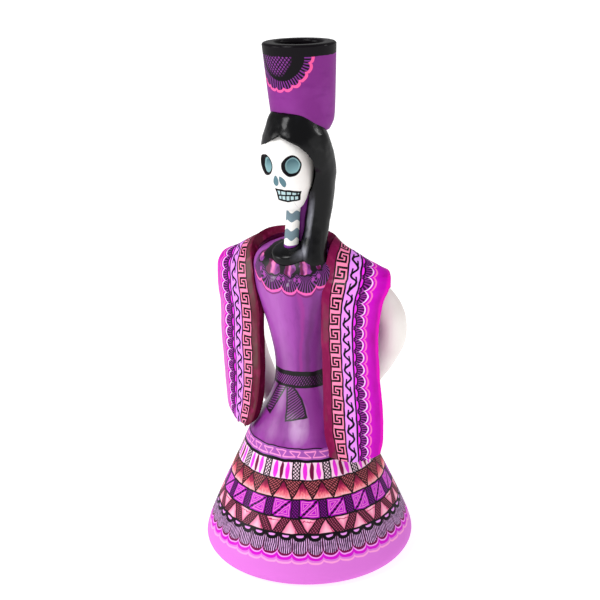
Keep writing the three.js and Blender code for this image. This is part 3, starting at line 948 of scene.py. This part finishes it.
# painted shade: the bodice is painted darker towards her left side under the stole, with a darker streak
# near the stole's edge; the magenta streak between them is paint
painted_shade = (angle - 20 + grain * 20).mask(9) * (125 - angle).mask(60)
paint.coat(painted_shade * 0.4, DEEP_PURPLE)
paint.coat((angle - 32 + grain * 22).line(3.6, 5.0) * 0.42, (172, 44, 146))
paint.coat((angle - 49 + grain * 26).line(5.0, 6.0) * 0.4, (88, 20, 92))
belt = height.between(98.0, 107.6).mask()
paint.coat(belt, (142, 62, 148))
one, other = paint.net(angle * 0.2, height, (1.9, 1.3), (0.34, 0.62), (0.6, 0.7))
crossed = ((angle + 10) / 40).held() & ((175 - angle) / 20).held()
paint.coat(belt * (one * crossed | other), (26, 8, 30))
# painted shade: the belt grows darker, up to three quarters black, round her left side and back
paint.draw(belt * (1 - abs(angle - 84) / 62 & 0.75 | 0.0))
paint.draw((height - 106.4).line(1.3))
paint.draw((height - 99.3).line(0.75))

FAN, WIDE = 26.5, 42.0
front = angle + ((1 - angle) / WIDE | 0.0).math("MINIMUM", 1) * (WIDE - FAN)
fan = front.beat(1 + FAN / 2, FAN)
arch = fan.arch()
lift = (abs(angle - 8) - 40 | 0.0) * 0.24
in_collar = (70 - abs(angle - 8)).mask(4)
edge = height - (157.0 - 3.4 * arch + lift)
paint.coat((edge + 1.5).line(0.35, 0.5) * in_collar, (118, 22, 96))
paint.coat(edge.line(0.75) * in_collar, (252, 96, 178))
ground = (edge - 0.5).mask() * in_collar
paint.coat(ground, (130, 52, 140))
rays = (fan * FAN * 0.42).bearing(165 - height + lift).rays(9.5, 0.29, 0.15)
paint.draw(ground * rays)
# painted highlights: two milky patches on the collar, the sheen of the varnish
for bearing, level, wide, high in ((-21, 161.3, 13, 3.2), (15, 158.5, 7, 3.4)):
    painted_sheen = oval(angle - bearing, height - level, wide, high) | 0.0
    paint.coat(paint.patches(330, 2.0, 0.5, 6) * painted_sheen & 0.8, (182, 170, 188))
shade = paint.noise(260, 2.0) - 0.5
petals = (height - lift - 163.0 - shade * 4).mask() * ground
streaks = paint.patches(420, 1.0, 0.5, 8, (1, 1, 0.35))
paint.coat(petals, (138, 58, 146))
paint.coat(petals * streaks, (100, 26, 96))
paint.coat(petals * (0.1 - abs(fan + 0.22 + shade * 0.2)).mask(0.06), (96, 8, 66))
stroke = (0.085 - abs(fan + shade * 0.3)).mask(0.1) * (0.7 + shade * 3 & 1.0)
paint.coat(petals * stroke, (244, 124, 184))
sweep = height - lift - fan.squared() * 5 - shade * 5 - 162.6
paint.draw(sweep.line(0.5, 0.4) * ground)
paint.draw(petals * (abs(fan) - 0.33 + shade * 0.4).mask(0.05))
bud = oval(abs(fan) - 0.36, height - lift - 160.6, 0.075, 1.0)
paint.coat((bud * 0.6).mask() * ground, (160, 64, 160))
from_ring = far(paint.x, paint.y - ring_foot.y / MM)
paint.draw((height - 169.2).mask() & (13.9 - from_ring + shade * 5).mask(0.6))
finish_piece(bodice, "purple_paint", paint.dry())

# %% [markdown]
# ## Bone and black paint
# Bone white has a faint warm painted shade towards her left and the back of the head,
# away from the light. The eye sockets are ringed in black round a teal bowl, with two
# drops for the nose and a grid of small teeth, each painted at its own place on the face.

# %% Skull paint
BONE, TEAL = (252, 250, 247), (84, 118, 126)
EYE_RING = 5.3  # the radius of the black paint round an eye
BOWLS = ((0.9, 3.8), (0.6, 4.0))  # how far aside each teal bowl lies, and its radius
paint = Paint("skull_paint", BONE)
paint.coat(paint.patches(120, 2.0, 0.45, 1.5), (240, 232, 228))
x, y, z = paint.x, paint.y, paint.z
FACE_ON = radians(25)
across = x * cos(FACE_ON) + y * sin(FACE_ON)
# painted shade: the face is a little darker and warmer towards her left and the back, away from the light
paint.coat((across - 3).mask(9) * 0.55, (226, 214, 207))
for eye, (aside, bowl_radius) in zip(eye_places, BOWLS):
    paint.fill(EYE_RING - far(x - eye.x, y - eye.y, z - eye.z), BLACK)
    along_face = aside * (eye - SKULL).xy.normalized()
    middle = Vector((eye.x - along_face.y, eye.y + along_face.x, eye.z + 0.1))
    within = bowl_radius - far(x - middle.x, y - middle.y, z - middle.z)
    # painted shade and highlight: each teal bowl is darker at its top and lighter below, with a pale ring
    # just inside its rim
    bowl = paint.mix(((z - eye.z) * -0.14 + 0.3).held(), TEAL, (146, 186, 192))
    paint.fill(within, bowl)
    paint.coat((within - 0.3).line(0.2) * within.mask(), (136, 172, 174))


def drop(top, foot, half):
    """A nose drop: pointed at the top, round and wider at its foot."""
    length = hypot(foot[0] - top[0], foot[1] - top[1])
    a, b = (foot[0] - top[0]) / length, (foot[1] - top[1]) / length
    along = (across - top[0]) * a + (z - top[1]) * b
    aside = (across - top[0]) * b - (z - top[1]) * a
    share = (along / length).held()
    width = (share * (1 - share) * (0.7 + share)).root() * (half * 1.9)
    paint.coat((width - abs(aside)).mask() * (-16 - y).mask(), (92, 124, 134))


drop((-11.3, 214.8), (-11.0, 209.4), 1.25)
drop((-9.4, 214.5), (-6.6, 209.0), 1.35)
MOUTH = [(-10.0, 202.0), (-5.4, 201.2), (0.1, 201.8), (0.9, 206.1), (-5.0, 206.9), (-11.3, 208.0)]
mouth = paint.inside(across, z, MOUTH)
front = (-15.5 - y).mask()
paint.coat(mouth.mask() * front, (184, 212, 216))
UPPER_TOOTH, LOWER_TOOTH, BITE = 2.7, 2.05, 204.4
upper_gaps = (across.beat(-6.1, UPPER_TOOTH) * UPPER_TOOTH).line(0.36) * (z - BITE).mask()
lower_gaps = (across.beat(-6.2, LOWER_TOOTH) * LOWER_TOOTH).line(0.32) * (BITE - z).mask()
middle_gap = (z - BITE).line(0.45)
paint.draw((mouth + 0.1).mask() * front * (upper_gaps | lower_gaps | middle_gap))
paint.draw(mouth.line(0.5) * front)
finish_piece(skull, "bone_paint", paint.dry(0.2))

# %% Neck, arms and the purple post
paint = Paint("neck_paint", (238, 236, 232))
ripple = (paint.around(1.2, -12.8) * (pi / 45)).math("SINE") * 0.7
for low, high in ((179.7, 184.6), (189.1, 194.1)):
    paint.fill((paint.z + ripple).between(low, high), (112, 132, 142))
paint.fill(176.7 - paint.z, (120, 40, 140))
finish_piece(neck_bone, "bone_paint", paint.dry())

paint = Paint("arm_paint", (244, 238, 234), varnish=0.15)
paint.coat(paint.patches(60, 3.0, 0.45, 1.6), (226, 212, 210))
arm_material = paint.dry(0.35)
for arm in (left_arm, right_arm):
    finish_piece(arm, "bone_paint", arm_material)

paint = Paint("post_paint", (112, 20, 122))
purple_ground(paint)
finish_piece(neck_post, "purple_paint", paint.dry())

# %% Hair and neck ring
paint = Paint("hair_paint", (5, 5, 7), roughness=0.34, varnish=0.42, haze=0.22)
# painted sheen: greyer streaks down the black hair, and on the neck ring, which takes the same finish
paint.coat(paint.patches(80, 3.0, 0.52, 4, (1, 1, 0.15)) * 0.7, (34, 34, 40))
# painted sheen: a grey streak down the front of the lock, where the light shines on it
above_tip = paint.z - 173
lock_x, lock_y = paint.x - 10.7 - above_tip * 0.035, paint.y + 9.3 - above_tip * 0.28
painted_lock_sheen = (14 - abs(lock_x.bearing(-lock_y) + 8)).mask(14) * paint.z.between(171, 203).mask(6)
paint.coat(painted_lock_sheen * paint.patches(110, 3.0, 0.28, 3), (124, 124, 134))
hair_material = paint.dry(0.4)
finish_piece(hair, "black_paint", hair_material)
finish_piece(neck_ring, "black_paint", hair_material)

# %% [markdown]
# ## Hat paint
# A half round of black lace hangs from the black rim on the front of the hat. Its pattern
# is polar: the distance and the direction from the middle of the lace, on the unrolled hat.

# %% Lace on the hat
paint = Paint("hat_paint", (128, 44, 132))
paint.coat(paint.patches(50, 3.0, 0.48, 5) * 0.5, (146, 62, 152))
paint.coat(paint.patches(300, 3.0, 0.54, 6, (0.3, 0.3, 1)) * 0.25, DEEP_PURPLE)
LACE_AT, LACE_TOP, LACE_REACH, HAT_MIDDLE = -8.0, 273.0, 16.1, 17.5
unrolled = (paint.around(1.1, -1.7) - LACE_AT) * (HAT_MIDDLE / TURN)
drop_down = LACE_TOP - paint.z
reach = far(unrolled, drop_down)
bearing = unrolled.bearing(drop_down)
rim_line = reach - (LACE_REACH + 1.5 * bearing.beat(2.0, 16.8).arch())
thick = 0.7 + (unrolled | 0.0) * 0.024
paint.fill(thick - abs(rim_line), (255, 92, 160))
paint.fill(-rim_line - 0.5, (132, 50, 146))
paint.draw((-rim_line - 0.6).mask() * bearing.rays(5.6, 0.3, 0.15))
paint.fill(12.4 + unrolled * 0.11 - reach, BLACK)
one, other = paint.net(unrolled, drop_down, (1.9, 2.1), (0.62, 0.62), (0.7, 1.1))
fading = (9.6 - (reach + (unrolled - 2 | 0.0) * 0.45)).mask(2.5)
paint.coat(fading * (one & other), (128, 54, 140))
paint.fill(paint.z - 272.5, BLACK)
in_bore = BORE_RADIUS + 1.0 - far(paint.x - 1.0, paint.y - BORE_AT[1])
paint.fill(in_bore, BLACK)
finish_piece(hat, "purple_paint", paint.dry())

# %% [markdown]
# ## Stole paint
# From the inner edge outwards: a maroon edge, a Greek key in pink on black, a violet band
# with a black vine, magenta drops, dark hatched scallops with a white edge, and a magenta
# outer edge. The stole's own UV map gives the share of the width and the length in mm.

# %% Borders of the stole
STOLE_WIDTH = 27.5
KEY_LOW, KEY_HIGH, KEY_STEP = 4.5, 9.3, 7.65
VINE_LOW, VINE_HIGH, VINE_STEP = 10.1, 14.9, 8.2
LACE_LOW, DROP_STEP = 15.5, 6.4

paint = Paint("stole_paint", (124, 14, 70))
uv = Socket(paint, paint.coordinates.outputs["UV"])
share, along = (paint.node("ShaderNodeSeparateXYZ", {}, [uv], i) for i in (0, 1))
across = share * STOLE_WIDTH + (paint.noise(150, 1.0) - 0.5) * 1.0
along = along + (paint.noise(110, 1.0, (1.2, 1, 1)) - 0.5) * 1.4
paint.coat((-paint.x).mask(6), (96, 14, 46))
worn = paint.patches(48, 3.0, 0.47, 9, (1, 1, 0.5)) * (0.9 - paint.x.mask(6) * 0.15)
worn = worn * (170 - paint.z).mask(10) * (share - 0.04).mask(0.04)
paint.coat(worn, (100, 74, 72))
paint.coat(paint.patches(330, 3.0, 0.52, 6, (1, 1, 0.5)) * 0.5, (150, 34, 86))

paint.fill(across - 3.9, BLACK)
paint.fill(across.between(KEY_LOW, KEY_HIGH), (248, 134, 176))
unit = (along / KEY_STEP).math("FRACT")
u = (across - KEY_LOW) / (KEY_HIGH - KEY_LOW)
KEY_BARS = [
    (0.12, 1.0, 0.0, 0.12), (0.12, 0.28, 0.0, 0.56), (0.12, 0.52, 0.45, 0.57),
    (0.0, 0.85, 0.65, 0.77), (0.69, 0.85, 0.25, 0.77), (0.42, 0.85, 0.25, 0.37),
]
bars = reduce(or_, [
    u.between(u0, u1) * (KEY_HIGH - KEY_LOW) & unit.between(v0, v1) * KEY_STEP
    for u0, u1, v0, v1 in KEY_BARS
])
paint.fill(bars + 0.08 & across.between(KEY_LOW, KEY_HIGH), BLACK)

vine_place = across - (VINE_LOW + VINE_HIGH) / 2
paint.fill(across.between(VINE_LOW, VINE_HIGH), (232, 142, 250))
phase = along * (2 * pi / VINE_STEP)
slope = phase.math("COSINE") * 1.03
wave = (vine_place - phase.math("SINE") * 1.35) / (1 + slope.squared()).root()
paint.draw(wave.line(0.52) & across.between(VINE_LOW, VINE_HIGH).mask())
for side in (-1, 1):
    twig = along.beat(0.25 * side * VINE_STEP - 1.8, VINE_STEP) * VINE_STEP
    stroke = 0.38 - abs(vine_place - side * (1.05 + twig * 0.14)) & 1.8 - abs(twig)
    paint.fill(stroke, BLACK)

past_vine = across - LACE_LOW
lace = across - (past_vine | 0.0) * (-paint.x).mask(6) * 0.28  # wider on her right
paint.fill(past_vine, (158, 44, 160))
beat = along.beat(0, DROP_STEP)
arch = beat.arch()
scallops = lace - (17.5 + 2.5 * arch)
spokes = (beat * DROP_STEP).bearing(lace - 14.2).rays(17, 0.31, 0.12)
hatch = spokes | (lace - (15.6 + 1.5 * arch)).line(0.25)
paint.coat(hatch * past_vine.mask(), (58, 6, 66))
paint.fill(scallops, (204, 8, 196))
paint.coat((scallops - 0.35).line(0.27), (244, 206, 248))
paint.coat((lace - (20.3 + 1.6 * arch)).line(0.36), (248, 110, 190))
brushed = paint.patches(160, 3.0, 0.48, 5, (1, 1, 0.3))
paint.coat((across - 23.2).mask(2.5) * (0.5 + brushed * 0.5), (172, 2, 152))
paint.coat((across - 26.2).mask(1.0), (224, 10, 184))
sheen = (lace - 21.5).mask(1.5) * (-paint.x).mask(6) * (150 - paint.z).mask(30)
paint.coat(sheen * 0.3, (204, 176, 210))
leaf, bead = ((1 - beat.squared() * narrow).root() for narrow in (5.5, 8))
paint.fill(15.5 + 1.75 * leaf - across & across - 15.3, BLACK)
paint.fill(15.8 + 0.85 * bead - across & across - 15.75, (250, 50, 245))
under_paint = Paint("stole_underside", (120, 24, 84))
purple_ground(under_paint)
finish_piece(stole, "stole_paint", paint.dry(), under_paint.dry())

# %% [markdown]
# ## Floor and light
# The photo is a product shot on white: a big soft light from her right and above, a white
# room all round that is darker overhead, and a pale floor with hardly any shadow. The
# floor glows a little of its own, so that it stays white without a tint from the skirt.

# %% Floor, room and lights
bpy.ops.mesh.primitive_plane_add(size=30)
floor = bpy.context.object
floor.name = "floor"
floor_paint = bpy.data.materials.new("floor")
floor_paint.use_nodes = True
floor_surface = floor_paint.node_tree.nodes["Principled BSDF"]
set_sockets(floor_surface, {
    "Base Color": (0.5, 0.5, 0.5, 1), "Emission Color": (1, 1, 1, 1), "Emission Strength": 0.78,
    "Roughness": 0.7, "Specular IOR Level": 0.2,
})
floor.data.materials.append(floor_paint)

world = bpy.data.worlds.new("white room")
bpy.context.scene.world = world
world.use_nodes = True
HORIZON_LIGHT, CEILING_LIGHT = 1.05, 0.42
room = world.node_tree
direction = room.nodes.new("ShaderNodeTexCoord")
upward = room.nodes.new("ShaderNodeSeparateXYZ")
walls = room.nodes.new("ShaderNodeMapRange")
walls.interpolation_type = "SMOOTHSTEP"
set_sockets(walls, {
    "From Min": 0.04, "From Max": 0.34, "To Min": HORIZON_LIGHT, "To Max": CEILING_LIGHT,
})
room.links.new(direction.outputs["Generated"], upward.inputs["Vector"])
room.links.new(upward.outputs["Z"], walls.inputs["Value"])
set_sockets(room.nodes["Background"], {"Color": (1, 1, 1, 1)})
room.links.new(walls.outputs["Result"], room.nodes["Background"].inputs["Strength"])


def softbox(name, bearing, elevation, spread, strength):
    """A far soft light: its bearing from the camera and its elevation, in degrees."""
    side, rise = VIEW_TURN + radians(bearing), radians(elevation)
    toward = Vector((sin(side) * cos(rise), -cos(side) * cos(rise), sin(rise)))
    bpy.ops.object.light_add(type="SUN", location=toward)
    light = bpy.context.object
    light.name = name
    light.data.angle = radians(spread)
    light.data.energy = strength
    light.rotation_euler = (-toward).to_track_quat("-Z", "Y").to_euler()


softbox("key", -48, 48, 24, 1.45)
softbox("side", -80, 12, 26, 0.85)
softbox("window", 99, 31, 8, 0.3)
softbox("fill", 72, 14, 34, 0.2)
bpy.context.scene.view_settings.view_transform = "Standard"
